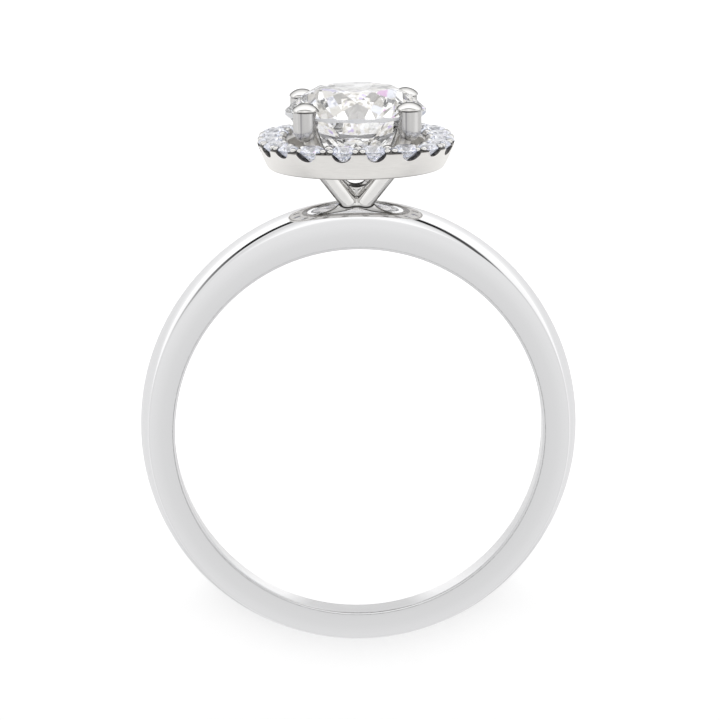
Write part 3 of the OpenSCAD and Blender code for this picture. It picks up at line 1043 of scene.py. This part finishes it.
gap_share = node(tree, "ShaderNodeMath", {0: gap_shares[0], 1: gap_shares[1]})
sky = node(
    tree, "ShaderNodeMix",
    {"Factor": gap_share.outputs["Value"], 6: open_sky.outputs[2], 7: gap.outputs["Color"]},
    data_type="RGBA", blend_type="MULTIPLY",
)
mirrored_world = node(
    tree, "ShaderNodeBackground", {"Color": sky.outputs[2], "Strength": WORLD_SCALE}
)
print("dark gap towards", len(gap_shares), "sides")

# %% [markdown]
# A cut diamond splits light into colours and breaks the room into small panes. The renderer doesn't
# split light, so rays that have passed a stone meet another world: a mosaic of white, warm grey and
# a few tinted panes. Only those rays do, and so the metal keeps its calm soft boxes. The camera
# itself looks at plain white.

# %% Panes seen through the stones
PANES_PER_UNIT = 20.0
FIRE = (
    # from this level, colour, brightness
    (0.0, "FFFFFF", 1.2),
    (0.3, "EDF1FF", 1.0),
    (0.45, "F0EDE6", 0.75),
    (0.62, "E6E1D8", 0.5),
    (0.8, "8F7FD0", 0.9),
    (0.825, "FFFFFF", 1.35),
    (0.9, "D79BD8", 1.0),
    (0.92, "C8C4B8", 0.3),
    (0.975, "2A3E9C", 0.8),
)
windows = node(
    tree, "ShaderNodeTexVoronoi", {"Vector": direction, "W": 0.0, "Scale": PANES_PER_UNIT},
    voronoi_dimensions="4D", feature="F1",
)
level = node(tree, "ShaderNodeSeparateColor", {"Color": windows.outputs["Color"]})
panes = node(
    tree, "ShaderNodeValToRGB", {"Fac": level.outputs[0]},
    [
        (start, [c * brightness / WORLD_SCALE for c in linear(hex_code)[:3]] + [1])
        for start, hex_code, brightness in FIRE
    ],
)
panes.color_ramp.interpolation = "CONSTANT"
sparkle = node(
    tree, "ShaderNodeBackground", {"Color": panes.outputs["Color"], "Strength": WORLD_SCALE}
)
print("kinds of panes:", len(FIRE))

# %% World by kind of ray
white = node(tree, "ShaderNodeBackground", {"Color": linear("FFFFFF"), "Strength": 1.0})
rays = node(tree, "ShaderNodeLightPath")
not_seen = node(
    tree, "ShaderNodeMixShader",
    {0: rays.outputs["Is Transmission Ray"], 1: mirrored_world.outputs[0], 2: sparkle.outputs[0]},
)
any_ray = node(
    tree, "ShaderNodeMixShader",
    {0: rays.outputs["Is Camera Ray"], 1: not_seen.outputs[0], 2: white.outputs[0]},
)
node(tree, "ShaderNodeOutputWorld", {"Surface": any_ray.outputs[0]})
print("world:", world.name)

# %% [markdown]
# The ring lies on a sheet of white acrylic, which glows from below so that it stays white, as a
# photographer's light table does. Like the world, it has one look for each kind of ray, because
# the polished dome mirrors the sheet close by and would otherwise show one even grey. Mirrored rays
# see soft panels: a darker stretch of painted shade under the bottom of the band, a brighter one
# towards the head, and inside the ring, near the band's bottom, one bright patch on each side.

# %% Floor seen by mirrored rays
PANELS_FROM, PANELS_TO = -0.012, 0.03
PANELS = (
    # metres towards the head, brightness
    (-0.0096, 0.47),
    # Painted shade: the dip under the band's bottom.
    (-0.0088, 0.3),
    (-0.0078, 0.3),
    (-0.005, 0.47),
    (0.008, 0.47),
    (0.03, 0.84),
)
PATCHES_TO = 0.008
PATCHES = (
    # metres to either side, brightness
    (0.0, 0.14),
    (0.0021, 0.14),
    (0.0033, 0.43),
    (0.0042, 0.4),
    (0.0058, 0.12),
    (0.0066, 0.0),
)
floor_material, tree, upright = new_material("white acrylic")
coords = node(tree, "ShaderNodeTexCoord").outputs["Object"]
place = node(tree, "ShaderNodeSeparateXYZ", {"Vector": coords})
along = node(
    tree, "ShaderNodeMapRange",
    {"Value": place.outputs["Y"], "From Min": PANELS_FROM, "From Max": PANELS_TO},
)
panels = node(
    tree, "ShaderNodeValToRGB", {"Fac": along.outputs["Result"]},
    [((y - PANELS_FROM) / (PANELS_TO - PANELS_FROM), [light] * 3 + [1]) for y, light in PANELS],
)
from_middle = node(tree, "ShaderNodeMath", {0: place.outputs["X"]}, operation="ABSOLUTE")
reach = node(
    tree, "ShaderNodeMapRange", {"Value": from_middle.outputs["Value"], "From Max": PATCHES_TO}
)
patches = node(
    tree, "ShaderNodeValToRGB", {"Fac": reach.outputs["Result"]},
    [(x / PATCHES_TO, [light] * 3 + [1]) for x, light in PATCHES],
)
away = node(tree, "ShaderNodeVectorMath", {0: coords}, operation="LENGTH")
outside = node(
    tree, "ShaderNodeMapRange",
    {"Value": away.outputs["Value"], "From Min": 0.0085, "From Max": 0.0095},
    interpolation_type="SMOOTHSTEP",
)
inner_patches = node(
    tree, "ShaderNodeMix",
    {"Factor": outside.outputs["Result"], 6: patches.outputs["Color"], 7: linear("000000")},
    data_type="RGBA",
)
bottom_end = node(
    tree, "ShaderNodeMapRange",
    {
        "Value": place.outputs["Y"], "From Min": -0.0055, "From Max": -0.0035,
        "To Min": 1.0, "To Max": 0.0,
    },
    interpolation_type="SMOOTHSTEP",
)
lights = node(
    tree, "ShaderNodeMix",
    {
        "Factor": bottom_end.outputs["Result"],
        6: panels.outputs["Color"], 7: inner_patches.outputs[2],
    },
    data_type="RGBA", blend_type="ADD",
)
mirrored = node(
    tree, "ShaderNodeBsdfPrincipled",
    {
        "Base Color": linear("BFBFBF"), "Roughness": 0.7, "Specular IOR Level": 0.1,
        "Emission Color": lights.outputs[2], "Emission Strength": 1.0,
    },
)

# %% [markdown]
# For the camera the sheet is plain white with a satin face. It glows a little less outside the
# ring's lower end, so that the ring's own soft shadow shows there and nowhere else. Rays that have
# passed a stone find small glints, which go on with the mosaic that the world shows them.

# %% Floor seen by the camera and through the stones
# To the eye: a clean white ground with one faint shadow.
GLOW, SHADOW_GLOW = 0.6, 0.4
GLINTS_PER_MM = 5.5
GLINTS = (
    # from this level, colour
    (0.0, "FFFFFF"),
    (0.25, "EDEAE4"),
    (0.5, "D3CFC7"),
    (0.7, "FAFAFF"),
    (0.86, "B3AFA6"),
    (0.95, "C9B8E6"),
)
low_end = node(
    tree, "ShaderNodeMapRange",
    {
        "Value": place.outputs["Y"], "From Min": -0.0085, "From Max": -0.004,
        "To Min": SHADOW_GLOW, "To Max": 0.0,
    },
    interpolation_type="SMOOTHSTEP",
)
dimmed = node(
    tree, "ShaderNodeMath", {0: outside.outputs["Result"], 1: low_end.outputs["Result"]},
    operation="MULTIPLY",
)
glow = node(tree, "ShaderNodeMath", {0: GLOW, 1: dimmed.outputs["Value"]}, operation="SUBTRACT")
seen = node(
    tree, "ShaderNodeBsdfPrincipled",
    {
        "Base Color": linear("F2F2F2"), "Roughness": 0.7, "Specular IOR Level": 0.1,
        "Emission Color": linear("FFFFFF"), "Emission Strength": glow.outputs["Value"],
    },
)
crumbs = node(
    tree, "ShaderNodeTexVoronoi", {"Vector": upright, "Scale": GLINTS_PER_MM}, feature="F1"
)
level = node(tree, "ShaderNodeSeparateColor", {"Color": crumbs.outputs["Color"]})
glints = node(
    tree, "ShaderNodeValToRGB", {"Fac": level.outputs[0]},
    [(start, linear(hex_code)) for start, hex_code in GLINTS],
)
glints.color_ramp.interpolation = "CONSTANT"
through = node(tree, "ShaderNodeEmission", {"Color": glints.outputs["Color"], "Strength": 1.1})
rays = node(tree, "ShaderNodeLightPath")
not_seen = node(
    tree, "ShaderNodeMixShader",
    {
        0: rays.outputs["Is Transmission Ray"],
        1: mirrored.outputs["BSDF"], 2: through.outputs["Emission"],
    },
)
any_ray = node(
    tree, "ShaderNodeMixShader",
    {0: rays.outputs["Is Camera Ray"], 1: not_seen.outputs["Shader"], 2: seen.outputs["BSDF"]},
)
node(tree, "ShaderNodeOutputMaterial", {"Surface": any_ray.outputs["Shader"]})
print(f"a glint on the floor is about {1 / GLINTS_PER_MM:.2f} mm wide")

# %% Floor sheet
bm = bmesh.new()
bmesh.ops.create_grid(
    bm, x_segments=1, y_segments=1, size=2, matrix=Matrix.Translation((0, 0, cad_box[0][2]))
)
mesh = bpy.data.meshes.new("floor")
bm.to_mesh(mesh)
bm.free()
floor = bpy.data.objects.new("floor", mesh)
scene.collection.objects.link(floor)
mesh.materials.append(floor_material)
print(f"floor at {1000 * cad_box[0][2]:.3f} mm")

# %% [markdown]
# The picture was taken with a long lens, ten degrees above the axis of the finger hole, as the
# ring stands upright. Here the ring lies on its side, so the camera is set up round the upright
# ring and laid over with it, and looks almost straight down. Tilt, pan and roll are the last small
# turns that put the ring where it stands in the picture.

# %% Camera
LENS_MM = 540.07
DISTANCE = 0.5
camera_data = bpy.data.cameras.new("camera")
camera_data.lens = LENS_MM
camera_data.sensor_width = 36
camera_data.clip_start = 0.05
camera_data.clip_end = 10
camera = bpy.data.objects.new("camera", camera_data)
scene.collection.objects.link(camera)
angles = [math.radians(a) for a in (-1.8091, 10.0, 0.35959, 0.01133, -0.54062)]
yaw, elevation, tilt, pan, roll = angles
camera.matrix_world = (
    LAY
    @ Matrix.Rotation(yaw, 4, "Z")
    @ Matrix.Rotation(math.pi / 2 - elevation, 4, "X")
    @ Matrix.Translation((0, 0, DISTANCE))
    @ Matrix.Rotation(tilt, 4, "X")
    @ Matrix.Rotation(-pan, 4, "Y")
    @ Matrix.Rotation(roll, 4, "Z")
)
scene.camera = camera
print(f"camera {DISTANCE} m away, lens {LENS_MM} mm")

# %% [markdown]
# Light turns many times inside a diamond before it comes out, so the render allows many bounces;
# with fewer, parts of the stones would go black. The Standard view keeps white paper white.

# %% Render settings that belong to the look
scene.view_settings.view_transform = "Standard"
scene.cycles.use_denoising = True
scene.cycles.max_bounces = 24
scene.cycles.transmission_bounces = 20
scene.cycles.glossy_bounces = 12
scene.cycles.transparent_max_bounces = 12
print("bounces:", scene.cycles.max_bounces)

# %% [markdown]
# Last, each new piece of metal is tied to the frame: it rides on the ring's one body and stands for
# the metal solid.

# %% Hand over to the frame
for piece in (band, halo_cup, groove, beads, prong_arms, prong_columns):
    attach(piece, "root")
    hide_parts("band_and_head")
